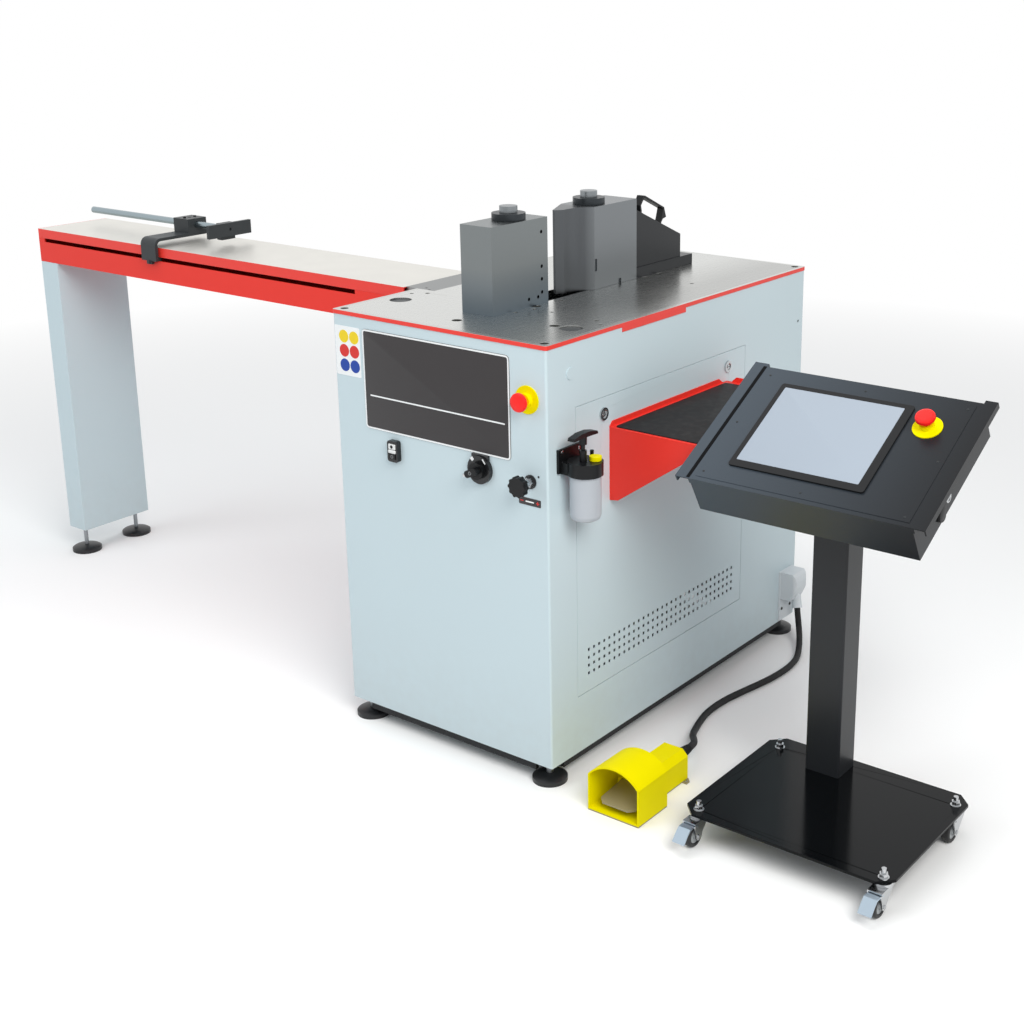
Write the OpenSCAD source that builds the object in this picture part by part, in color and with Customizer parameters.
// Horizontal press brake: floor cabinet with a bending ram on its table, an
// outrigger beam with a length stop, a control console on casters and a foot
// pedal on a cord. Millimetres. X runs to the right along the front, Y to the
// back, Z up from the floor. Every module draws in the machine's own corner
// frame, whose zero is the table's front right corner, and place() moves it so
// that the finished part stands centred on its footprint.

/* [Table and cabinet] */
// Width of the table, left to right
table_w = 600; // [500:10:800]
// Depth of the table, front to back
table_d = 1040; // [1030:10:1400]
// Height of the table top above the floor
table_h = 985; // [950:5:1200]
// Thickness of the steel table plate
plate_t = 30; // [20:1:36]
// Width of the red edge band, seen from above
band_w = 8; // [6:1:12]
// Height of the red edge band
band_h = 9.5; // [8:0.5:14]
// How far the band stands proud of the cabinet
band_proud = 1.5; // [1:0.5:3]
// Height of the cabinet's lower edge above the floor
cabinet_lift = 47; // [40:1:70]
// Sheet thickness of the cabinet
sheet = 2.5; // [2:0.5:4]
// Outside radius of the cabinet's folded corners
corner_r = 5; // [4:1:16]

/* [Tooling] */
// Height of the tool blocks above the table
block_h = 193; // [150:1:220]
// Width of the fixed block
fixed_w = 88; // [75:1:100]
// Length of the fixed block, front to back
fixed_l = 190; // [170:1:220]
// Distance from the table's front edge to the fixed block
fixed_y = 140; // [120:1:150]
// Free gap between the fixed block and the ram's nose
nose_gap = 78; // [66:1:100]
// Width of the ram block
ram_w = 95; // [85:1:105]
// Length of the ram block, nose to back
ram_l = 258; // [245:1:280]
// Diameter of the tool pins
pin_d = 40; // [30:1:50]
// Depth of the pin bores below the top of the blocks
pin_depth = 118; // [80:1:130]
// Width of the slot that guides the ram
slot_w = 70; // [60:1:80]
// Stroke of the ram towards the fixed block
stroke_fwd = 60; // [40:1:60]
// Stroke of the ram away from the fixed block
stroke_back = 120; // [90:1:120]

/* [Beam and length stop] */
// Length of the beam beside the table
beam_l = 1474; // [1250:1:1900]
// Width of the beam, front to back
beam_w = 230; // [200:1:280]
// Height of the beam
beam_h = 94; // [80:1:120]
// Distance from the table's front edge to the beam
beam_y = 262; // [240:1:300]
// Width of the leg along the beam
leg_w = 74; // [60:1:100]
// Width of the stop bracket along the beam
bracket_w = 60; // [50:1:80]
// Diameter of the stop rod
stop_rod_d = 18; // [14:1:22]
// Length of the stop rod
stop_rod_l = 583; // [480:1:700]

/* [Console] */
// Width of the console's base plate
base_w = 469; // [420:1:560]
// Depth of the console's base plate
base_d = 386; // [340:1:460]
// Width of the console's column
column_w = 80; // [60:1:100]
// Depth of the console's column
column_d = 72; // [60:1:90]
// Width of the operating head
head_w = 482; // [460:1:590]
// Slope length of the operating head
head_l = 338; // [330:1:410]
// Thickness of the operating head
head_t = 88; // [70:1:110]
// Tilt of the operating head
head_tilt = 29.3; // [15:0.1:40]
// Diameter of the caster wheels
wheel_d = 50; // [46:1:52]

/* [Foot pedal] */
// Width of the pedal guard
guard_w = 130; // [125:1:150]
// Length of the pedal guard
guard_l = 106; // [100:1:120]
// Height of the pedal guard's sides
guard_h = 97; // [85:1:110]
// Diameter of the pedal's cord
cord_d = 16; // [12:1:16]

/* [Hidden] */
$fn = 48;

// Clearance of faces that slide past each other
slide_gap = 0.3;
// Radial clearance of a pin or shaft in its bore
run_gap = 0.05;

// Centre line of the table, where the ram and both blocks sit
mid = -table_w / 2;
// Underside of the table plate, and top of the cabinet's walls
plate_z = table_h - plate_t;
wall_top = table_h - band_h;

// Steel frame inside the cabinet
ring_w = 50;
ring_h = 60;
frame_in = 6.5;
ring_z = cabinet_lift + sheet;
beam_gap = 85;
beam_bar = 30;

// Blocks, from front to back
nose_y = fixed_y + fixed_l + nose_gap;
ram_back = nose_y + ram_l;
ram_z = table_h + slide_gap;
block_top = table_h + block_h;
fixed_pin_y = fixed_y + 110;
ram_pin_y = nose_y + 132;
cap_r = 37.5;
cap_t = 15;
stub_t = 15;

// Carriage under the table, on two guide bars
carriage_y0 = nose_y + 92;
carriage_y1 = nose_y + 260;
carriage_half = 70;
carriage_t = 50;
carriage_z = plate_z - slide_gap - carriage_t;
lug_l = 60;
lug_half = 40;
guide_half = 45;

// Hydraulic cylinder behind the carriage's lug
cyl_z = plate_z - 145;
cyl_y0 = carriage_y0 + lug_l + stroke_back + 10;
cyl_cap = 30;
cyl_half = 70;
barrel_r = 60;
bore_r = 50;
rod_r = 25;
piston_t = 40;
// Oil left at both ends of the piston's travel
cyl_spare = 5;
cyl_l = stroke_fwd + stroke_back + 2 * cyl_cap + piston_t + 2 * cyl_spare;
cyl_shelf_z = cyl_z - cyl_half - 20;
end_plate_t = 25;
guide_y0 = nose_y + 22;
guide_y1 = cyl_y0 + 100;

// Cover behind the ram
cover_half = 44;
channel_half = cover_half + 3;
cover_l = 194;
cover_back = ram_back + cover_l;
channel_h = 25;
channel_l = 244;
cover_t = 2;
cover_front_z = table_h + 167;
cover_back_z = table_h + 82;
cover_z = ram_z + channel_h;
cover_slope = (cover_front_z - cover_back_z) / cover_l;

// Side door, its locks, and the shelf that hangs on it
door_y0 = 93;
door_y1 = 762;
door_z0 = 180;
door_z1 = 838;
door_t = 2;
door_gap = 1.2;
door_rim = 15;
lock_z = 801;
lock_front_y = 190;
lock_rear_y = 682;
lock_cam_t = 3;
shelf_y0 = 211;
shelf_y1 = 680;
shelf_z = 767;
shelf_x = 225;
shelf_t = 3;
shelf_rim = 12;
cheek_h = 165;

// Controls on the front, at their places on the cabinet
estop_x = -50;
estop_z = table_h - 118;
unit_x = -425;
unit_z = table_h - 295;
switch_x = -178;
switch_z = table_h - 290;
knob_x = -45;
knob_z = table_h - 292;

// Grease pump on the right side
pump_x = 45;
pump_y = 67;
pump_z0 = 709;
pump_z1 = 738;
plunger_y = 60;
cap_x = 60;
cap_y = 82;

// Beam, its leg and the stop that slides along it
beam_x0 = -table_w - beam_l;
beam_z = table_h - beam_h;
tray_h = 26;
tray_z = table_h - tray_h;
tray_t = 3;
link_x0 = -table_w - 36;
link_x1 = -table_w + 52;
link_t = band_h;
link_y0 = beam_y + 9;
link_y1 = beam_y + beam_w - 12;
track_h = 11;
track_x0 = beam_x0 + 26;
track_x1 = -table_w - 199;
leg_z = 75;
bracket_x = beam_x0 + 484;
bracket_t = 9;
arm_z = table_h + 17;
arm_t = 8;
arm_y = beam_y + 178;
stop_y = beam_y + 130;
stop_z = table_h + 46;
clamp_z = arm_z + arm_t;
clamp_d = 62;
clamp_h = 38;
stop_rod_x = bracket_x - 396;
stop_plate_x = stop_rod_x + stop_rod_l;

// Console on its own base, right of the table
base_x = 333;
base_y = -6;
base_t = 6;
base_z = wheel_d + 14;
base_chamfer = 29;
caster_in = 33;
caster_in_back = 45;
caster_in_front = 22;
trail = 23;
casters = [
  [base_x + caster_in, base_y + caster_in_front],
  [base_x + base_w - 23, base_y + caster_in_front],
  [base_x + base_w - 21, base_y + base_d - caster_in_back],
  [base_x + caster_in + 3, base_y + base_d - caster_in_back]
];
column_x = 457;
column_y = 288;
column_t = 3;
head_x = 277;
head_y = 99.5;
head_z = 737;
panel_in = 10;
panel_t = 1;
bezel_u = 62;
bezel_v = 53;
bezel_w = 297;
bezel_l = 242;
bezel_rim = 10.5;
bezel_foot = 17;
bezel_side = 17.5;
bezel_t = 4;
estop_u = head_w - 78;
estop_v = 248;

// Foot pedal in front of the cabinet
guard_x = 112;
guard_y = -21;
guard_arch = 18.5;
guard_t = 4;
pedal_t = 3;
box_x0 = guard_x + 25;
box_x1 = guard_x + guard_w - 29;
box_y1 = guard_y + guard_l + 122;
box_z = 70;
box_chamfer = 14;
pivot_y = guard_y + 95;
pivot_z = 30;
treadle_x0 = guard_x + 20;
treadle_x1 = guard_x + guard_w - 20;
gland_l = 20;

// Centre line of the pedal's cord, from its gland to the hood on the cabinet
cord_route = [
  [195, 227, 56], [195, 238, 56], [193, 252, 55], [188, 267, 52], [178, 285, 46],
  [163, 307, 37], [143, 334, 27], [125, 364, 17], [110, 398, 10], [98, 434, 8],
  [89, 473, 8], [86, 515, 8], [88, 560, 8], [95, 607, 8], [104, 653, 8], [113, 700, 8],
  [119, 745, 8], [121, 790, 8], [118, 831, 8], [109, 870, 9], [94, 906, 15], [76, 940, 28],
  [58, 967, 48], [46, 982, 68], [40, 988, 86]
];
cord_sides = 10;

// Footprint, which the origin is centred on
foot_pad_r = 42.5;
foot_r = 39;
foot_in = 32;
flap_reach = 76;
foot_left = beam_x0 + leg_w / 2 - foot_pad_r;
foot_right = base_x + base_w;
foot_front = casters[0][1] - flap_reach;
foot_back = table_d - foot_in + foot_r;
mid_x = (foot_left + foot_right) / 2;
mid_y = (foot_front + foot_back) / 2;

module place() translate([-mid_x, -mid_y, 0]) children();

// A block from its lowest to its highest corner
module block(a, b) translate(a) cube(b - a);

module rod_x(x0, x1, y, z, r) translate([x0, y, z]) rotate([0, 90, 0]) cylinder(h = x1 - x0, r = r);

module rod_y(y0, y1, x, z, r) translate([x, y0, z]) rotate([-90, 0, 0]) cylinder(h = y1 - y0, r = r);

module rod_z(z0, z1, x, y, r) translate([x, y, z0]) cylinder(h = z1 - z0, r = r);

// A hexagon nut or head standing on z
module hex_z(z0, z1, x, y, r) translate([x, y, z0]) cylinder(h = z1 - z0, r = r, $fn = 6);

// An outline drawn in Y and Z, thickened from x0 to x1
module slab_x(x0, x1) translate([x0, 0, 0]) rotate([90, 0, 90]) linear_extrude(x1 - x0) children();

// An outline drawn in X and Z, thickened from y0 to y1
module slab_y(y0, y1) translate([0, y1, 0]) rotate([90, 0, 0]) linear_extrude(y1 - y0) children();

// A rectangle with round corners, from its lowest to its highest corner
module round_rect(a, b, r) {
  translate([a[0] + r, a[1]]) square([b[0] - a[0] - 2 * r, b[1] - a[1]]);
  translate([a[0], a[1] + r]) square([b[0] - a[0], b[1] - a[1] - 2 * r]);
  for (x = [a[0] + r, b[0] - r], y = [a[1] + r, b[1] - r]) translate([x, y]) circle(r);
}

module rounded_prism(a, b, r, z0, z1) translate([0, 0, z0]) linear_extrude(z1 - z0) round_rect(a, b, r);

// ---- Cabinet ----

module frame_bars() {
  x0 = -table_w + frame_in;
  x1 = -frame_in;
  y0 = frame_in;
  y1 = table_d - frame_in;
  for (z = [ring_z, plate_z - ring_h]) {
    block([x0, y0, z], [x1, y0 + ring_w, z + ring_h]);
    block([x0, y1 - ring_w, z], [x1, y1, z + ring_h]);
    block([x0, y0, z], [x0 + ring_w, y1, z + ring_h]);
    block([x1 - ring_w, y0, z], [x1, y1, z + ring_h]);
  }
  for (x = [x0, x1 - ring_w], y = [y0, y1 - ring_w])
    block([x, y, ring_z], [x + ring_w, y + ring_w, plate_z]);
  // Cross bars under the oil tank
  for (y = tank_bars_y) block([x0, y, ring_z], [x1, y + ring_w, ring_z + ring_h]);
  // Two deep beams that take the bending force, and the bars that guide the ram
  for (side = [-1, 1]) {
    beam_in = mid + side * beam_gap;
    beam_out = mid + side * (beam_gap + beam_bar);
    guide_in = mid + side * guide_half;
    block([min(beam_in, beam_out), y0, cyl_shelf_z], [max(beam_in, beam_out), y1, plate_z]);
    block([min(beam_in, guide_in), guide_y0, cyl_z + cyl_half + 1],
          [max(beam_in, guide_in), guide_y1, carriage_z - slide_gap]);
  }
  // Shelf and end plate that carry the cylinder
  block([mid - beam_gap, cyl_y0, cyl_shelf_z], [mid + beam_gap, cyl_y0 + cyl_l, cyl_z - cyl_half]);
  block([mid - beam_gap, cyl_y0 + cyl_l, cyl_shelf_z],
        [mid + beam_gap, cyl_y0 + cyl_l + end_plate_t, plate_z]);
}

// Where the tank's cross bars start
tank_bars_y = [400, 650];

// Middles of the four feet, seen from above
foot_places = [
  [-foot_in, foot_in], [-table_w + foot_in, foot_in],
  [-foot_in, table_d - foot_in], [-table_w + foot_in, table_d - foot_in]
];
stud_r = 8;

// Rails under the cabinet's edge, stopping short of the feet
rail_in = 8;
rail_w = 10;
rail_h = 20;
rail_end = foot_in + 20;

module edge_rails() {
  z = cabinet_lift - rail_h;
  for (y = [rail_in, table_d - rail_in - rail_w])
    block([-table_w + rail_end, y, z], [-rail_end, y + rail_w, cabinet_lift]);
  for (x = [-table_w + rail_in, -rail_in - rail_w])
    block([x, rail_end, z], [x + rail_w, table_d - rail_end, cabinet_lift]);
}

module base_frame() color("dimgray") place() {
  difference() {
    frame_bars();
    for (p = foot_places) rod_z(ring_z - 1, ring_z + 42, p[0], p[1], stud_r + run_gap);
  }
  edge_rails();
}

module cabinet_shell() color([0.78, 0.83, 0.85]) place() {
  difference() {
    rounded_prism([-table_w, 0], [0, table_d], corner_r, cabinet_lift, wall_top);
    rounded_prism([-table_w + sheet, sheet], [-sheet, table_d - sheet], corner_r - sheet,
                  cabinet_lift + sheet, wall_top + 1);
    // Open underside inside the bottom flange
    block([-table_w + 60, 60, cabinet_lift - 1], [-60, table_d - 60, cabinet_lift + sheet + 1]);
    for (p = foot_places) rod_z(cabinet_lift - 1, cabinet_lift + sheet + 1, p[0], p[1], stud_r + 1);
    // Doorway in the right side
    block([-sheet - 1, door_y0, door_z0], [1, door_y1, door_z1]);
    // Panel holes of the controls
    rod_y(-1, sheet + 1, estop_x, estop_z, 11);
    rod_y(-1, sheet + 1, switch_x, switch_z, 11);
    rod_y(-1, sheet + 1, knob_x, knob_z, 8);
    rod_x(-sheet - 1, 1, table_d - 25, table_h - 136, 4);
    rod_x(-sheet - 1, 1, table_d - 62, 77, 5);
  }
  // Lip that the door's cams catch behind, and the sill that the door stands on
  lip_x = -door_t - door_rim - slide_gap * 2;
  block([lip_x, door_y0, door_z1], [-sheet, door_y1, door_z1 + 26]);
  block([lip_x, door_y0, door_z0 - 20], [-sheet, door_y1, door_z0]);
  // Plugged hole above the doorway
  rod_x(0, 2, 77, table_h - 72, 12.5);
}

vent_cols = 32;
vent_pitch = 18.85;
vent_y = 134;
vent_size = 7.5;

module side_door() color([0.79, 0.82, 0.82]) place() difference() {
  union() {
    block([-door_t, door_y0 + door_gap, door_z0 + door_gap], [0, door_y1 - door_gap, door_z1 - door_gap]);
    difference() {
      block([-door_t - door_rim, door_y0 + door_gap, door_z0 + door_gap],
            [-door_t, door_y1 - door_gap, door_z1 - door_gap]);
      block([-door_t - door_rim - 1, door_y0 + door_gap + door_t, door_z0 + door_gap + door_t],
            [1, door_y1 - door_gap - door_t, door_z1 - door_gap - door_t]);
    }
    // Pegs that stand on the sill
    for (y = [door_y0 + 60, door_y1 - 60])
      block([-door_t - door_rim, y - 10, door_z0], [-door_t - 1, y + 10, door_z0 + door_gap + 1]);
  }
  for (i = [0 : vent_cols - 1], z = [223, 241.5, 260, 279])
    block([-door_t - 1, vent_y + i * vent_pitch - vent_size / 2, z - vent_size / 2],
          [1, vent_y + i * vent_pitch + vent_size / 2, z + vent_size / 2]);
  for (y = [lock_front_y, lock_rear_y]) rod_x(-door_t - 1, 1, y, lock_z, 9 + run_gap);
}

module door_lock(y) {
  cam_x = -door_t - door_rim - slide_gap * 3 - lock_cam_t;
  difference() {
    rod_x(0.3, 4, y, lock_z, 14);
    // Key well
    rod_x(1.5, 5, y, lock_z, 9);
  }
  difference() {
    rod_x(1, 3.5, y, lock_z, 4.5);
    block([1.5, y - 4, lock_z - 1], [5, y + 4, lock_z + 1]);
  }
  rod_x(cam_x, 1.5, y, lock_z, 9);
  block([cam_x, y - 9, lock_z - 9], [cam_x + lock_cam_t, y + 9, door_z1 + 8]);
}

module door_lock_front() color("silver") place() door_lock(lock_front_y);

module door_lock_rear() color("silver") place() door_lock(lock_rear_y);

// Holes of the right half of the table: distance from its centre line, distance
// from the front edge, and diameter. The left half mirrors them.
table_holes = [
  [243, 155, 50], [271, 221, 9], [243, 244, 11], [114, 253, 9],
  [50, 281, 20], [64, 256, 11], [53, 205, 9], [56, 362, 9], [59, 690, 18],
  [57, 751, 14], [189, 693, 9]
];
corner_hole_in = 18.5;

module table_plate() color([0.62, 0.63, 0.62]) place() difference() {
  rounded_prism([-table_w + band_w, band_w], [-band_w, table_d - band_w], 4, plate_z, table_h);
  for (h = table_holes, side = [-1, 1]) rod_z(plate_z - 1, table_h + 1, mid + side * h[0], h[1], h[2] / 2);
  rod_z(plate_z - 1, table_h + 1, mid, 73, 11);
  // Hole for a bending tool's second pin, on the right only
  rod_z(plate_z - 1, table_h + 1, mid + 201, 153.5, 11);
  for (x = [-corner_hole_in, -table_w + corner_hole_in], y = [corner_hole_in, table_d - corner_hole_in])
    rod_z(plate_z - 1, table_h + 1, x, y, 9);
  // Slot that the carriage's neck runs in
  block([mid - slot_w / 2, fixed_y + fixed_l - 30, plate_z - 1],
        [mid + slot_w / 2, carriage_y1 + stroke_back + 35, table_h + 1]);
  // Step that the link plate lies in
  block([-table_w - 1, link_y0, table_h - link_t], [link_x1, link_y1, table_h + 1]);
}

module table_edge_band() color([0.91, 0.28, 0.25]) place() difference() {
  union() {
    rounded_prism([-table_w - band_proud, -band_proud], [band_proud, table_d + band_proud],
                  corner_r + band_proud, wall_top, table_h);
    // Deeper tab along the right side
    block([0, 258, wall_top - 10.5], [band_proud, 500, table_h]);
  }
  rounded_prism([-table_w + band_w, band_w], [-band_w, table_d - band_w], 4, wall_top - 1, table_h + 1);
  block([-table_w - 10, link_y0, wall_top - 1], [-table_w + band_w + 1, link_y1, table_h + 1]);
}

module foot(x, y, r, z_nut, z_top, rod) {
  translate([x, y, 0]) rotate_extrude()
    polygon([[0, 0], [r, 0], [r, 10], [r - 6, 14], [16, 18], [0, 18]]);
  rod_z(17, z_top, x, y, rod);
  hex_z(z_nut - 10, z_nut, x, y, rod * 1.7);
}

leg_foot_y = [beam_y + 26, beam_y + beam_w - 24];

module levelling_feet() color("#1f1f20") place() {
  for (p = foot_places) foot(p[0], p[1], foot_r, cabinet_lift, ring_z + 40, stud_r);
  for (y = leg_foot_y) foot(beam_x0 + leg_w / 2, y, foot_pad_r, leg_z, leg_z + 40, 6);
}

// ---- Tooling on the table ----

// Holes for die holders, right through the block: distance from its back face,
// and height above the table
die_holes = [[22, 162], [22, 85], [22, 56.5], [22, 27], [36, 18], [68, 18]];
die_hole_r = 4;

module fixed_block() color([0.50, 0.52, 0.53]) place() difference() {
  block([mid - fixed_w / 2, fixed_y, table_h], [mid + fixed_w / 2, fixed_y + fixed_l, block_top]);
  rod_z(block_top - pin_depth, block_top + 1, mid, fixed_pin_y, pin_d / 2 + run_gap);
  x0 = mid - fixed_w / 2 - 1;
  for (h = die_holes)
    rod_x(x0, x0 + fixed_w + 2, fixed_y + fixed_l - h[0], table_h + h[1], die_hole_r);
}

// Pin with its pressed collar: the pin fills the bore and its end stands proud
module tool_pin(y) {
  bottom = block_top - pin_depth + 1;
  rod_z(bottom, block_top + cap_t + stub_t, mid, y, pin_d / 2);
  rod_z(block_top + slide_gap, block_top + cap_t, mid, y, cap_r);
}

module fixed_tool_pin() color([0.25, 0.26, 0.27]) place() tool_pin(fixed_pin_y);

module ram_tool_pin() color([0.25, 0.26, 0.27]) place() tool_pin(ram_pin_y);

// Outline of the ram from above, from its nose: straight to the full width on
// the left; on the right a short bevel, a straight cheek and a hollow flank
nose_half = 3;
cheek_half = 15;
bevel_l = 17;
cheek_l = 13;
flank_turn = 58;
flank_r = (ram_w / 2 - cheek_half) / (1 - cos(flank_turn));
flank_y0 = bevel_l + cheek_l;
flank_y1 = flank_y0 + flank_r * sin(flank_turn);
flank_steps = 10;
function flank(a) = [cheek_half + flank_r * (1 - cos(a)), flank_y0 + flank_r * sin(a)];
ram_outline = concat(
  [[-nose_half, 0], [nose_half, 0], [cheek_half, bevel_l]],
  [for (i = [0 : flank_steps]) flank(flank_turn * i / flank_steps)],
  [[ram_w / 2, ram_l], [-ram_w / 2, ram_l], [-ram_w / 2, flank_y1]]
);

module ram_block() color([0.48, 0.50, 0.51]) place() difference() {
  translate([mid, nose_y, ram_z]) linear_extrude(block_top - ram_z) polygon(ram_outline);
  rod_z(block_top - pin_depth, block_top + 1, mid, ram_pin_y, pin_d / 2 + run_gap);
  // Keyway at each front edge of the full width, and a jacking notch at each foot
  key_y = nose_y + flank_y1 + 2;
  for (side = [-1, 1]) {
    edge = mid + side * ram_w / 2;
    block([edge - 3, key_y, table_h + 43], [edge + 3, key_y + 9, table_h + 72]);
    block([edge - 4, ram_back - 74, ram_z - 1], [edge + 4, ram_back - 63, ram_z + 12]);
  }
}

module ram_carriage() color([0.45, 0.46, 0.47]) place() difference() {
  union() {
    block([mid - slot_w / 2 + slide_gap, carriage_y0, carriage_z + 1],
          [mid + slot_w / 2 - slide_gap, carriage_y1 - 10, ram_z]);
    block([mid - carriage_half, carriage_y0, carriage_z],
          [mid + carriage_half, carriage_y1, plate_z - slide_gap]);
    block([mid - lug_half, carriage_y0, cyl_z - 40], [mid + lug_half, carriage_y0 + lug_l, carriage_z + 1]);
  }
  rod_y(carriage_y0 + lug_l - 30, carriage_y0 + lug_l + 1, mid, cyl_z, rod_r);
}

module piston_rod() color("silver") place() {
  piston_y = cyl_y0 + cyl_cap + stroke_fwd + cyl_spare;
  rod_y(carriage_y0 + lug_l - 30, piston_y + piston_t, mid, cyl_z, rod_r);
  rod_y(piston_y, piston_y + piston_t, mid, cyl_z, bore_r - run_gap);
}

module hydraulic_cylinder() color([0.2, 0.22, 0.25]) place() difference() {
  union() {
    for (y = [cyl_y0, cyl_y0 + cyl_l - cyl_cap])
      block([mid - cyl_half, y, cyl_z - cyl_half], [mid + cyl_half, y + cyl_cap, cyl_z + cyl_half]);
    rod_y(cyl_y0 + cyl_cap - 1, cyl_y0 + cyl_l - cyl_cap + 1, mid, cyl_z, barrel_r);
  }
  rod_y(cyl_y0 - 1, cyl_y0 + cyl_cap + 1, mid, cyl_z, rod_r + run_gap);
  rod_y(cyl_y0 + cyl_cap, cyl_y0 + cyl_l - cyl_cap, mid, cyl_z, bore_r);
}

// Oil tank on the frame's cross bars, with the pump's motor standing on its lid
tank_z = ring_z + ring_h;
tank_h = 220;

module power_pack() color([0.3, 0.33, 0.38]) place() {
  difference() {
    block([mid - 150, 370, tank_z], [mid + 150, 730, tank_z + tank_h]);
    block([mid - 147, 373, tank_z + 3], [mid + 147, 727, tank_z + tank_h - 6]);
  }
  translate([mid, 550, tank_z + tank_h]) rotate_extrude() polygon([
    [0, 0], [100, 0], [100, 12], [75, 12], [75, 200], [79, 200], [79, 245], [70, 252], [0, 252]
  ]);
}

module slot_cover() color([0.22, 0.23, 0.24]) place() difference() {
  block([mid - channel_half, ram_back, ram_z], [mid + channel_half, ram_back + channel_l, cover_z]);
  block([mid - channel_half + cover_t, ram_back - 1, ram_z - 1],
        [mid + channel_half - cover_t, ram_back + channel_l - cover_t, cover_z - cover_t]);
}

module cover_outline(t) {
  z0 = cover_z;
  polygon([
    [ram_back + t, z0 - t], [cover_back - t, z0 - t],
    [cover_back - t, cover_back_z - t], [ram_back + t, cover_front_z - 1.1 * t]
  ]);
}

module ram_cover() color([0.23, 0.24, 0.25]) place() difference() {
  slab_x(mid - cover_half, mid + cover_half) cover_outline(0);
  slab_x(mid - cover_half + cover_t, mid + cover_half - cover_t) cover_outline(cover_t);
}

// Bent strap handle on the cover's slope, drawn from the ram's back face
handle_half = 9;
module cover_handle() color([0.1, 0.1, 0.11]) place()
  slab_x(mid - handle_half, mid + handle_half) translate([ram_back, cover_front_z]) polygon([
    [70, -70 * cover_slope], [70, -16], [67, -2], [81, 20], [91, 19], [173, -19],
    [182, -45], [168, -48], [162, -55], [157, -157 * cover_slope],
    [150, -150 * cover_slope], [160, -48], [168, -22], [88, 14], [74, -3], [77, -16],
    [77, -77 * cover_slope]
  ]);

// ---- Front controls ----

// Yellow disc and its neck, drawn around its own axis and standing on z = 0
module estop_collar() difference() {
  union() {
    cylinder(h = 3, r = 30);
    cylinder(h = 13, r = 15);
  }
  translate([0, 0, -1]) cylinder(h = 20, r = 9 + run_gap);
}

// Mushroom head and stem of an emergency stop, on the same axis
module estop_head() {
  translate([0, 0, 21]) rotate_extrude() polygon([
    [0, 0], [16, 0], [20, 4], [20, 9], [18.5, 12], [15, 13.6], [8, 14.6], [0, 15]
  ]);
  translate([0, 0, 1]) cylinder(h = 21, r = 9);
}

module on_front(x, z) translate([x, 0, z]) rotate([90, 0, 0]) children();

// Head's own frame: u to the right, v up the slope, w out of the panel
module on_head(u, v)
  translate([head_x, head_y, head_z]) rotate([head_tilt, 0, 0]) translate([u, v, 0]) children();

module estop_collars() color("yellow") place() {
  on_front(estop_x, estop_z) estop_collar();
  on_head(estop_u, estop_v) translate([0, 0, panel_t]) estop_collar();
}

module front_estop_button() color("red") place() on_front(estop_x, estop_z) estop_head();

module console_estop_button() color("red") place()
  on_head(estop_u, estop_v) translate([0, 0, panel_t]) estop_head();

unit_w = 30;
unit_h = 48;
unit_t = 12;
unit_floor = 3;
button_pitch = 22.5;
button_w = 20;
button_h = 12;
button_travel = 2;
// Well that a key slides in
well = [button_w + 2 * slide_gap, button_h + 2 * slide_gap, 0];

module control_housings() color([0.13, 0.13, 0.14]) place() {
  // Double push button's housing
  on_front(unit_x, unit_z) difference() {
    linear_extrude(unit_t) round_rect([-unit_w / 2, -unit_h / 2], [unit_w / 2, unit_h / 2], 6);
    for (side = [-1, 1]) translate([0, side * button_pitch / 2, unit_floor]) translate(-well / 2)
      cube([well[0], well[1], unit_t]);
  }
  // Main switch's round base with its square shoulder
  on_front(switch_x, switch_z) difference() {
    union() {
      cylinder(h = 10, r = 31);
      translate([-22, 0, 0]) cube([45, 33, 6]);
    }
    translate([0, 0, -1]) cylinder(h = 12, r = 6 + run_gap);
  }
  // Pressure regulator's flange, nut and screwed neck
  on_front(knob_x, knob_z) difference() {
    union() {
      cylinder(h = 3, r = 15);
      cylinder(h = 10, r = 11, $fn = 6);
      cylinder(h = 22, r = 8);
    }
    translate([0, 0, -1]) cylinder(h = 24, r = 4 + run_gap);
  }
}

module push_button(side) on_front(unit_x, unit_z + side * button_pitch / 2)
  translate([-button_w / 2, -button_h / 2, unit_floor + button_travel + slide_gap])
    cube([button_w, button_h, unit_t - unit_floor - slide_gap]);

module start_button() color("white") place() push_button(1);

module stop_button() color([0.2, 0.2, 0.21]) place() push_button(-1);

// Turning handle of the main switch, pointing down to the left at rest
handle_turn = 25;
module main_switch_knob() color([0.1, 0.1, 0.1]) place() on_front(switch_x, switch_z) {
  translate([0, 0, -4]) cylinder(h = 16, r = 6);
  translate([0, 0, 10 + slide_gap]) cylinder(h = 10, r = 19);
  translate([0, 0, 19]) linear_extrude(16) rotate(handle_turn) round_rect([-19, -8], [15, 8], 7);
}

// Lobed knob that sets the bending pressure
knob_lobes = 10;
module star_knob() color([0.16, 0.17, 0.18]) place() on_front(knob_x, knob_z) {
  translate([0, 0, 2]) cylinder(h = 34, r = 4);
  translate([0, 0, 22 + slide_gap]) cylinder(h = 11, r = 9);
  translate([0, 0, 33]) linear_extrude(14) {
    circle(20);
    for (i = [0 : knob_lobes - 1]) rotate(i * 360 / knob_lobes) translate([18.6, 0]) circle(4);
  }
}

// ---- Shelf and grease pump on the right side ----

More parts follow.
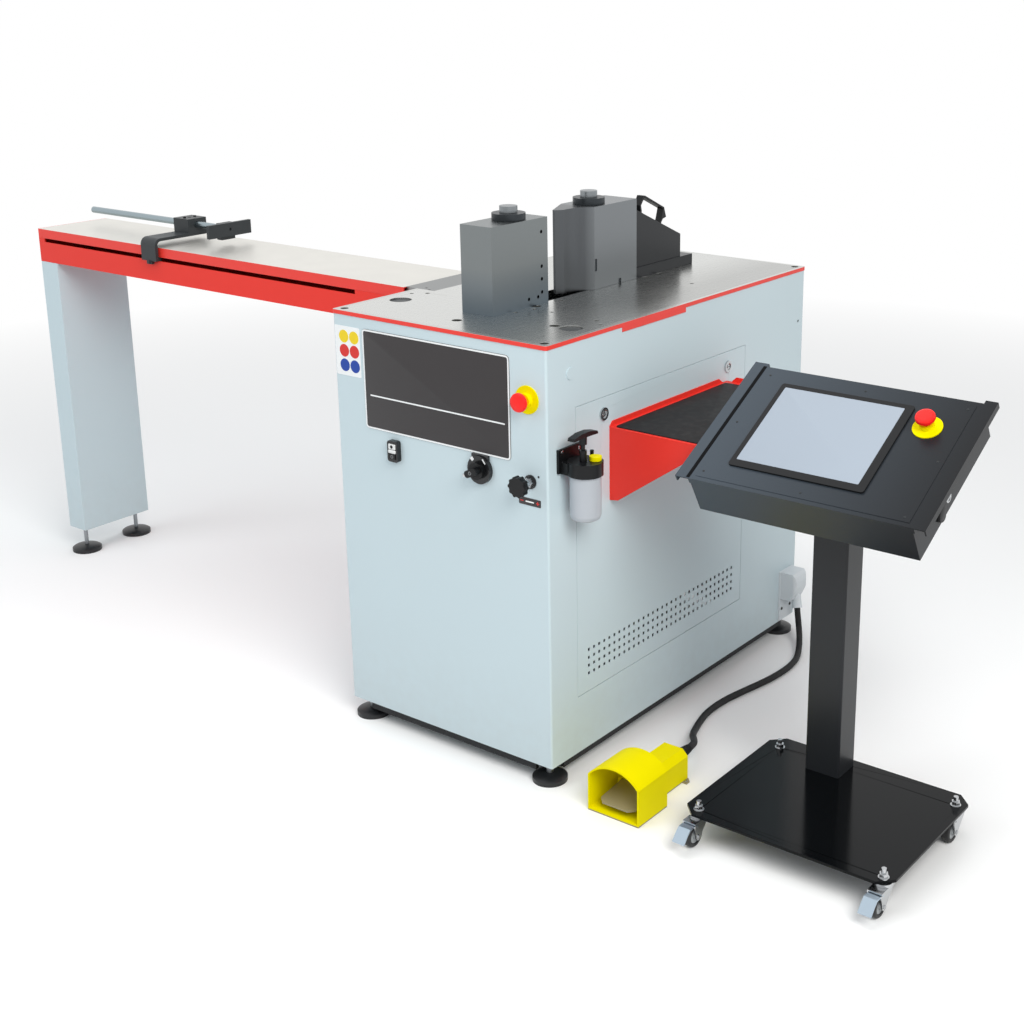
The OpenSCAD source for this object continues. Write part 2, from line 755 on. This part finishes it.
module tool_shelf() color([0.85, 0.22, 0.18]) place() {
  block([0, shelf_y0, shelf_z - shelf_t], [shelf_x, shelf_y1, shelf_z]);
  // Upstand along the wall, with cut corners, and along the far end
  slab_x(0, shelf_t) polygon([
    [shelf_y0, shelf_z - 1], [shelf_y0, shelf_z + 2], [shelf_y0 + 10, shelf_z + shelf_rim],
    [shelf_y1 - 38, shelf_z + shelf_rim], [shelf_y1 - 22, shelf_z + 1], [shelf_y1 - 22, shelf_z - 1]
  ]);
  slab_y(shelf_y1 - shelf_t, shelf_y1) polygon([
    [16, shelf_z - 1], [16, shelf_z + 1], [28, shelf_z + shelf_rim], [shelf_x, shelf_z + shelf_rim],
    [shelf_x, shelf_z - 1]
  ]);
  // Triangular cheeks at both ends
  for (y = [shelf_y0, shelf_y1 - shelf_t]) slab_y(y, y + shelf_t) polygon([
    [0, shelf_z - cheek_h], [22, shelf_z - cheek_h + 3], [shelf_x - 3, shelf_z - 25],
    [shelf_x, shelf_z - 22], [shelf_x, shelf_z - shelf_t], [0, shelf_z - shelf_t]
  ]);
}

module lube_pump_body() color([0.14, 0.14, 0.14]) place() difference() {
  union() {
    block([0, 29, 711], [6, 106, 761]);
    rod_z(pump_z0, pump_z1, pump_x, pump_y, 37.5);
    block([4, pump_y - 30, pump_z0], [pump_x, pump_y + 30, pump_z1 - 4]);
    // Guide of the plunger, and the outlet nipple
    rod_z(pump_z1 - 1, pump_z1 + 24, pump_x, plunger_y, 7.5);
    rod_z(pump_z1 - 1, pump_z1 + 15, pump_x - 4, pump_y + 28, 4);
  }
  rod_z(pump_z0 - 1, pump_z1 + 25, pump_x, plunger_y, 4 + run_gap);
  rod_z(pump_z0 - 1, pump_z1 + 1, cap_x, cap_y, 8 + run_gap);
  // Seat of the reservoir's neck
  rod_z(pump_z0 - 1, pump_z0 + 12, pump_x, pump_y, 30.5);
  for (z = [728, 751]) rod_x(-1, 7, 98, z, 3);
}

// Half section of the bottle, from the middle of its bottom round its wall and back
bottle_z = pump_z0 - 99;
bottle_section = [
  [0, 0], [24, 1], [30, 5], [33, 13], [33, 99], [30, 99], [30, 111],
  [28, 111], [28, 95], [30.5, 91], [30.5, 14], [28, 7.5], [22, 4], [0, 3]
];

module lube_reservoir() color([0.8, 0.8, 0.84, 0.6]) place()
  translate([pump_x, pump_y, bottle_z]) rotate_extrude() polygon(bottle_section);

grip_z = pump_z1 + 53;
module pump_plunger() color([0.15, 0.15, 0.15]) place() {
  rod_z(640, grip_z + 2, pump_x, plunger_y, 4);
  rod_z(grip_z - 16, grip_z + 4, pump_x, plunger_y, 8);
  rod_z(650, 656, pump_x, plunger_y, 12);
  slab_x(pump_x - 9, pump_x + 9) translate([plunger_y, grip_z]) polygon([
    [-40, -1], [-38, 5], [-14, 10], [14, 10], [38, 5], [40, -1], [34, -1], [12, 0], [-12, 0], [-34, -1]
  ]);
}

module filler_cap() color("yellow") place() {
  rod_z(pump_z1 + slide_gap, pump_z1 + 9, cap_x, cap_y, 13);
  rod_z(pump_z1 - 12, pump_z1 + 1, cap_x, cap_y, 8);
}

// ---- Beam with its leg and the length stop ----

module link_plate() color([0.54, 0.54, 0.52]) place() difference() {
  block([link_x0, link_y0, table_h - link_t], [link_x1, link_y1, table_h]);
  for (p = [[14, 16], [34, 4]]) rod_z(table_h - 4, table_h + 1, -table_w + p[0], link_y0 + p[1], 3);
}

module beam_top_plate() color([0.72, 0.71, 0.68]) place() difference() {
  block([beam_x0, beam_y, tray_z], [link_x0, beam_y + beam_w, table_h]);
  block([beam_x0 + tray_t, beam_y + tray_t, tray_z - 1],
        [link_x0 + 1, beam_y + beam_w - tray_t, table_h - tray_t]);
}

module beam_channel() color([0.91, 0.28, 0.25]) place() {
  difference() {
    block([beam_x0, beam_y, beam_z], [-table_w, beam_y + beam_w, tray_z]);
    block([beam_x0 + tray_t, beam_y + tray_t, beam_z + tray_t],
          [-table_w - tray_t, beam_y + beam_w - tray_t, tray_z + 1]);
    // Track of the stop along the front
    block([track_x0, beam_y - 1, tray_z - track_h], [track_x1, beam_y + tray_t + 1, tray_z + 1]);
  }
  // Packing under the link plate
  block([link_x0, link_y0 + 20, tray_z - 40], [-table_w - tray_t, link_y1 - 20, table_h - link_t]);
  block([link_x0, link_y0 + 20, beam_z + tray_t], [link_x0 + 10, link_y1 - 20, tray_z - 39]);
  // Three bolt heads on the end
  for (z = [15, 45, 62]) rod_x(beam_x0 - 3, beam_x0, beam_y + 20, beam_z + z, 5);
}

module beam_leg() color([0.77, 0.81, 0.83]) place() difference() {
  block([beam_x0, beam_y, leg_z], [beam_x0 + leg_w, beam_y + beam_w, beam_z]);
  block([beam_x0 + sheet, beam_y + sheet, leg_z + 5],
        [beam_x0 + leg_w - sheet, beam_y + beam_w - sheet, beam_z - sheet]);
  for (y = leg_foot_y) rod_z(leg_z - 1, leg_z + 6, beam_x0 + leg_w / 2, y, 6 + run_gap);
}

// Strap bent over the beam's front edge: outer radius, then arm to the back
bend_r = 20;
module stop_bracket() color([0.29, 0.32, 0.33]) place() {
  y0 = beam_y - 14;
  z1 = arm_z + arm_t;
  z0 = tray_z - 10;
  slab_x(bracket_x, bracket_x + bracket_w) {
    translate([y0, z0]) square([bracket_t, z1 - bend_r - z0]);
    translate([y0 + bend_r, arm_z]) square([arm_y - y0 - bend_r, arm_t]);
    intersection() {
      translate([y0 + bend_r, z1 - bend_r]) difference() {
        circle(bend_r);
        circle(bend_r - arm_t);
      }
      translate([y0, z1 - bend_r]) square(bend_r);
    }
  }
  // Tongue that runs in the beam's track, with its keeper inside the channel
  tongue_z = tray_z - track_h / 2;
  block([bracket_x + 5, y0 + 1, tongue_z - 4.5], [bracket_x + bracket_w - 5, beam_y + 7, tongue_z + 4.5]);
  block([bracket_x + 5, beam_y + tray_t + slide_gap, tongue_z - 12],
        [bracket_x + bracket_w - 5, beam_y + 9, tongue_z + 4.5]);
  // Lug with its clamping screw under the strap
  block([bracket_x + 20, y0, z0 - 9], [bracket_x + bracket_w - 20, y0 + bracket_t, z0 + 1]);
  rod_y(y0 - 4, y0 + 1, bracket_x + bracket_w / 2, z0 - 3, 5);
}

module stop_clamp_block() color([0.29, 0.32, 0.33]) place() difference() {
  y0 = stop_y - 30;
  block([bracket_x, y0, clamp_z], [bracket_x + bracket_w, y0 + clamp_d, clamp_z + clamp_h]);
  rod_x(bracket_x - 1, bracket_x + bracket_w + 1, stop_y, stop_z, stop_rod_d / 2 + run_gap);
  rod_z(clamp_z + clamp_h - 5, clamp_z + clamp_h + 1, bracket_x + bracket_w / 2, stop_y, 6);
}

module stop_rod() color([0.64, 0.71, 0.75]) place()
  rod_x(stop_rod_x, stop_plate_x, stop_y, stop_z, stop_rod_d / 2);

module stop_plate() color([0.29, 0.32, 0.33]) place() difference() {
  union() {
    block([stop_plate_x, stop_y - 72, stop_z - 18.5], [stop_plate_x + 10, stop_y + 71, stop_z + 17.5]);
    block([stop_plate_x - 20, stop_y - 22, stop_z - 28], [stop_plate_x + 1, stop_y + 22, stop_z + 16]);
  }
  rod_x(stop_plate_x - 21, stop_plate_x, stop_y, stop_z, stop_rod_d / 2);
  rod_x(stop_plate_x + 4, stop_plate_x + 11, stop_y, stop_z, 4);
}

// ---- Console ----

module console_base() color([0.17, 0.18, 0.19]) place() difference() {
  x1 = base_x + base_w;
  y1 = base_y + base_d;
  translate([0, 0, base_z]) linear_extrude(base_t) polygon([
    [base_x + base_chamfer, base_y], [x1 - base_chamfer, base_y], [x1, base_y + base_chamfer],
    [x1, y1 - base_chamfer], [x1 - base_chamfer, y1], [base_x + base_chamfer, y1],
    [base_x, y1 - base_chamfer], [base_x, base_y + base_chamfer]
  ]);
  for (p = casters) rod_z(base_z - 1, base_z + base_t + 1, p[0], p[1], 5 + run_gap);
}

// Everything below the head's underside
module under_head() difference() {
  children();
  on_head(-200, -400) translate([0, 0, -head_t]) cube([head_w + 400, head_l + 800, 600]);
}

module console_column() color([0.19, 0.20, 0.21]) place() under_head() difference() {
  z0 = base_z + base_t;
  z1 = head_z + 200;
  rounded_prism([column_x, column_y], [column_x + column_w, column_y + column_d], 5, z0, z1);
  rounded_prism([column_x + column_t, column_y + column_t],
                [column_x + column_w - column_t, column_y + column_d - column_t], 2, z0 - 1, z1 + 1);
}

rail_t = 3;
rail_drop = 14;
rail_l = head_l + 9;
module head_rail(u0, u1) {
  translate([u0, 0, -rail_t]) cube([u1 - u0, rail_l, rail_t]);
  for (u = [u0, u1 - rail_t]) translate([u, 0, -rail_drop]) cube([rail_t, rail_l, rail_drop]);
}

module console_head() color([0.24, 0.26, 0.28]) place() on_head(0, 0) {
  difference() {
    translate([0, 0, -head_t]) cube([head_w, head_l, head_t]);
    translate([rail_t, rail_t, rail_t - head_t])
      cube([head_w - 2 * rail_t, head_l - 2 * rail_t, head_t - 2 * rail_t]);
    translate([estop_u, estop_v, -rail_t - 1]) cylinder(h = rail_t + 2, r = 11);
  }
  // Screwed panel on top
  difference() {
    translate([panel_in, panel_in, 0]) cube([head_w - 2 * panel_in, head_l - 2 * panel_in, panel_t]);
    translate([estop_u, estop_v, -1]) cylinder(h = panel_t + 2, r = 11);
  }
  head_rail(-33, 0);
  head_rail(head_w, head_w + 26);
  // Ports on the right face
  translate([head_w, 0, 0]) {
    translate([0, 135, -55]) rotate([0, 90, 0]) cylinder(h = 4, r = 9.5);
    translate([0, 95, -62]) rotate([0, 90, 0]) cylinder(h = 8, r = 12.5);
  }
}

// Glass on the bezel's floor
module screen_glass(t) translate([bezel_u + bezel_rim, bezel_v + bezel_foot, panel_t + 1])
  cube([bezel_w - bezel_rim - bezel_side, bezel_l - bezel_rim - bezel_foot, t]);

// Bezel and glass of the operating panel
module touch_screen() color([0.08, 0.08, 0.09]) place() on_head(0, 0) {
  difference() {
    translate([0, 0, panel_t]) linear_extrude(bezel_t)
      round_rect([bezel_u, bezel_v], [bezel_u + bezel_w, bezel_v + bezel_l], 6);
    screen_glass(bezel_t);
  }
  screen_glass(bezel_t - 1.5);
}

// Stud with its race disc, rivet, washer and nut, one for each caster
module caster_mounts() color("silver") place() for (p = casters) {
  rod_z(base_z - 6, base_z, p[0], p[1], 18);
  rod_z(base_z - 13, base_z - 5, p[0], p[1], 6);
  rod_z(base_z - 1, base_z + base_t + 20, p[0], p[1], 5);
  rod_z(base_z + base_t, base_z + base_t + 2, p[0], p[1], 11);
  hex_z(base_z + base_t + 1, base_z + base_t + 10, p[0], p[1], 9);
}

// Caster fork around its swivel axis: top plate, two legs and the riveted axle
fork_in = 13;
fork_out = 15.5;
fork_top = base_z - 6 - slide_gap;
fork_plate = 2.7;
flap_y = -30;
flap_z = fork_top - 5.7;
module fork() difference() {
  union() {
    block([-fork_out, -36, fork_top - fork_plate], [fork_out, 18, fork_top]);
    for (x = [-fork_out, fork_in]) slab_x(x, x + fork_out - fork_in) {
      polygon([
        [16, fork_top], [-36, fork_top], [-36, flap_z - 6],
        [-trail - 8, wheel_d / 2], [-trail + 8, wheel_d / 2]
      ]);
      translate([-trail, wheel_d / 2]) circle(8);
    }
    rod_x(-fork_out - 2, fork_out + 2, -trail, wheel_d / 2, 4);
  }
  rod_z(fork_top - 20, fork_top + 1, 0, 0, 6 + run_gap);
  rod_x(-fork_out - 1, -fork_in + 1, flap_y, flap_z, 2 + run_gap);
  rod_x(fork_in - 1, fork_out + 1, flap_y, flap_z, 2 + run_gap);
}

wheel_w = 18;
module wheel() translate([0, -trail, wheel_d / 2]) rotate([0, 90, 0]) rotate_extrude() polygon([
  [4 + run_gap, -11], [9, -11], [9, -wheel_w / 2 + 2], [wheel_d / 2 - 8, -wheel_w / 2 + 2],
  [wheel_d / 2 - 7, -wheel_w / 2], [wheel_d / 2 - 2, -wheel_w / 2], [wheel_d / 2, -wheel_w / 2 + 3],
  [wheel_d / 2, wheel_w / 2 - 3], [wheel_d / 2 - 2, wheel_w / 2], [wheel_d / 2 - 7, wheel_w / 2],
  [wheel_d / 2 - 8, wheel_w / 2 - 2], [9, wheel_w / 2 - 2], [9, 11], [4 + run_gap, 11]
]);

// Brake flap in front of the wheel, turning on its own pin in the fork
module flap() {
  slab_x(-14, 14) translate([0, flap_z]) polygon([
    [-38, 1.5], [-38, -1.5], [-51, -2], [-61, -10], [-74, -24], [-flap_reach, -22], [-63, -8], [-52, 1.5]
  ]);
  block([-11, -39, flap_z - 1.5], [11, flap_y, flap_z + 1.5]);
  rod_x(-fork_out, fork_out, flap_y, flap_z, 2);
}

module at_caster(i) translate([casters[i][0], casters[i][1], 0]) children();

module caster_fork_1() color("silver") place() at_caster(0) fork();

module caster_fork_2() color("silver") place() at_caster(1) fork();

module caster_fork_3() color("silver") place() at_caster(2) fork();

module caster_fork_4() color("silver") place() at_caster(3) fork();

module caster_wheel_1() color([0.1, 0.1, 0.1]) place() at_caster(0) wheel();

module caster_wheel_2() color([0.1, 0.1, 0.1]) place() at_caster(1) wheel();

module caster_wheel_3() color([0.1, 0.1, 0.1]) place() at_caster(2) wheel();

module caster_wheel_4() color([0.1, 0.1, 0.1]) place() at_caster(3) wheel();

module brake_flap_1() color([0.66, 0.73, 0.80]) place() at_caster(0) flap();

module brake_flap_2() color([0.66, 0.73, 0.80]) place() at_caster(1) flap();

// ---- Foot pedal and its cord ----

// Direction of the cord where it enters the hood, and its last point
cord_end = cord_route[len(cord_route) - 1];
cord_run = cord_end - cord_route[len(cord_route) - 2];
hood_y = cord_end[1];
hood_z = 113;
hood_top = 188;

module connector_hood() color([0.69, 0.71, 0.73]) place() {
  // Long flange on the wall, and the rounded hood on its upper part
  block([0, hood_y - 32, cabinet_lift + 4], [5, hood_y + 32, hood_top]);
  intersection() {
    rounded_prism([-12, hood_y - 30], [52, hood_y + 30], 12, hood_z, hood_top);
    slab_y(hood_y - 31, hood_y + 31) polygon([
      [0, hood_z], [34, hood_z], [47, hood_z + 27], [51, hood_z + 39], [51, hood_top - 23],
      [47, hood_top - 8], [40, hood_top], [0, hood_top]
    ]);
  }
  // Flared neck that takes the cord, in line with its last stretch
  translate(cord_end) rotate([0, acos(cord_run[2] / norm(cord_run)), atan2(cord_run[1], cord_run[0])])
    cylinder(h = 60, r1 = 13.5, r2 = 11.5);
}

function unit(v) = v / norm(v);
function heading(i) = unit(
  i == 0 ? cord_route[1] - cord_route[0]
  : i == len(cord_route) - 1 ? cord_route[i] - cord_route[i - 1]
  : cord_route[i + 1] - cord_route[i - 1]
);
function ring(i) = let (
  t = heading(i),
  side = unit(cross(t, [0, 0, 1])),
  up = cross(side, t)
) [for (k = [0 : cord_sides - 1]) let (a = 90 + k * 360 / cord_sides)
  cord_route[i] + cord_d / 2 * (cos(a) * side + sin(a) * up)];

module pedal_cord() color([0.2, 0.2, 0.21]) place() {
  last = len(cord_route) - 1;
  n = cord_sides;
  polyhedron(
    points = [for (i = [0 : last], p = ring(i)) p],
    faces = concat(
      [[for (k = [0 : n - 1]) k]],
      [for (i = [0 : last - 1], k = [0 : n - 1]) [
        i * n + k, i * n + n + k, i * n + n + (k + 1) % n, i * n + (k + 1) % n
      ]],
      [[for (k = [n - 1 : -1 : 0]) last * n + k]]
    )
  );
}

module pedal_base() color([0.45, 0.45, 0.44]) place() difference() {
  union() {
    block([guard_x, guard_y, 0], [guard_x + guard_w, guard_y + guard_l, pedal_t]);
    block([box_x0, guard_y + guard_l - 1, 0], [box_x1, box_y1, pedal_t]);
    // Two ears for floor screws
    linear_extrude(pedal_t) polygon([
      [box_x0 - 12, box_y1 - 22], [box_x1 + 12, box_y1 - 22], [box_x1 + 12, box_y1 - 10],
      [box_x1 + 2, box_y1], [box_x0 - 2, box_y1], [box_x0 - 12, box_y1 - 10]
    ]);
  }
  for (x = [box_x0 - 6, box_x1 + 6]) rod_z(-1, pedal_t + 1, x, box_y1 - 15, 3);
}

// Tunnel outline of the guard: upright sides, an arched top and its wall inside
module guard_outline(t) intersection() {
  translate([guard_x + t, pedal_t + t]) square([guard_w - 2 * t, guard_h + guard_arch]);
  union() {
    translate([guard_x + t, pedal_t + t]) square([guard_w - 2 * t, guard_h - 12 - pedal_t - t]);
    rise = guard_arch + 12;
    arch_r = (guard_w * guard_w / 4 + rise * rise) / (2 * rise);
    translate([guard_x + guard_w / 2, guard_h + guard_arch - arch_r]) circle(arch_r - t, $fn = 96);
  }
}

module pedal_guard() color([0.94, 0.91, 0]) place() {
  y1 = guard_y + guard_l;
  difference() {
    slab_y(guard_y, y1) guard_outline(0);
    slab_y(guard_y - 1, y1 - guard_t) guard_outline(guard_t - 0.5);
    for (x = [guard_x + 22, guard_x + guard_w - 10]) rod_z(pedal_t - 1, 20, x, guard_y + 4, 1.5);
  }
  // Ears of the treadle's shaft
  for (x = [treadle_x0 - 5 - slide_gap, treadle_x1 + slide_gap]) difference() {
    block([x, pivot_y - 8, pedal_t + guard_t - 1], [x + 5, pivot_y + 8, pivot_z + 8]);
    rod_x(x - 1, x + 6, pivot_y, pivot_z, 4 + run_gap);
  }
  // Switch box behind the tunnel
  difference() {
    slab_y(y1 - 0.5, box_y1) polygon([
      [box_x0, pedal_t], [box_x1, pedal_t], [box_x1, box_z - box_chamfer], [box_x1 - box_chamfer, box_z],
      [box_x0 + box_chamfer, box_z], [box_x0, box_z - box_chamfer]
    ]);
    slab_y(y1 + 3, box_y1 - 3) polygon([
      [box_x0 + 3, pedal_t + 3], [box_x1 - 3, pedal_t + 3], [box_x1 - 3, box_z - box_chamfer - 1],
      [box_x1 - box_chamfer - 1, box_z - 3], [box_x0 + box_chamfer + 1, box_z - 3],
      [box_x0 + 3, box_z - box_chamfer - 1]
    ]);
  }
  // Cord gland
  translate([cord_route[0][0], cord_route[0][1] - gland_l, cord_route[0][2]]) rotate([-90, 0, 0])
    cylinder(h = gland_l, r1 = 11, r2 = 9);
}

treadle_front = guard_y + 7;
treadle_drop = 5;
module treadle() color([0.49, 0.48, 0.44]) place() {
  difference() {
    slab_x(treadle_x0, treadle_x1) polygon([
      [treadle_front, pivot_z - treadle_drop - 3], [treadle_front, pivot_z - treadle_drop],
      [treadle_front + 3, pivot_z - treadle_drop + 1], [pivot_y, pivot_z + 6],
      [pivot_y + 5, pivot_z + 3], [pivot_y + 5, pivot_z - 3], [pivot_y, pivot_z - 5]
    ]);
    // Cut front corners
    for (side = [-1, 1]) translate([guard_x + guard_w / 2 + side * 45, treadle_front, 0]) rotate(45)
      translate([-9, -9, 0]) cube([18, 18, 100]);
  }
  rod_x(treadle_x0 - 5, treadle_x1 + 5, pivot_y, pivot_z, 4);
}

base_frame();
cabinet_shell();
side_door();
table_plate();
table_edge_band();
levelling_feet();
fixed_block();
fixed_tool_pin();
ram_block();
ram_tool_pin();
ram_carriage();
piston_rod();
hydraulic_cylinder();
power_pack();
slot_cover();
ram_cover();
cover_handle();
door_lock_front();
door_lock_rear();
front_estop_button();
console_estop_button();
estop_collars();
control_housings();
start_button();
stop_button();
main_switch_knob();
star_knob();
tool_shelf();
lube_pump_body();
lube_reservoir();
pump_plunger();
filler_cap();
link_plate();
beam_top_plate();
beam_channel();
beam_leg();
stop_bracket();
stop_clamp_block();
stop_rod();
stop_plate();
console_base();
console_column();
console_head();
touch_screen();
caster_mounts();
caster_fork_1();
caster_fork_2();
caster_fork_3();
caster_fork_4();
caster_wheel_1();
caster_wheel_2();
caster_wheel_3();
caster_wheel_4();
brake_flap_1();
brake_flap_2();
connector_hood();
pedal_cord();
pedal_base();
pedal_guard();
treadle();
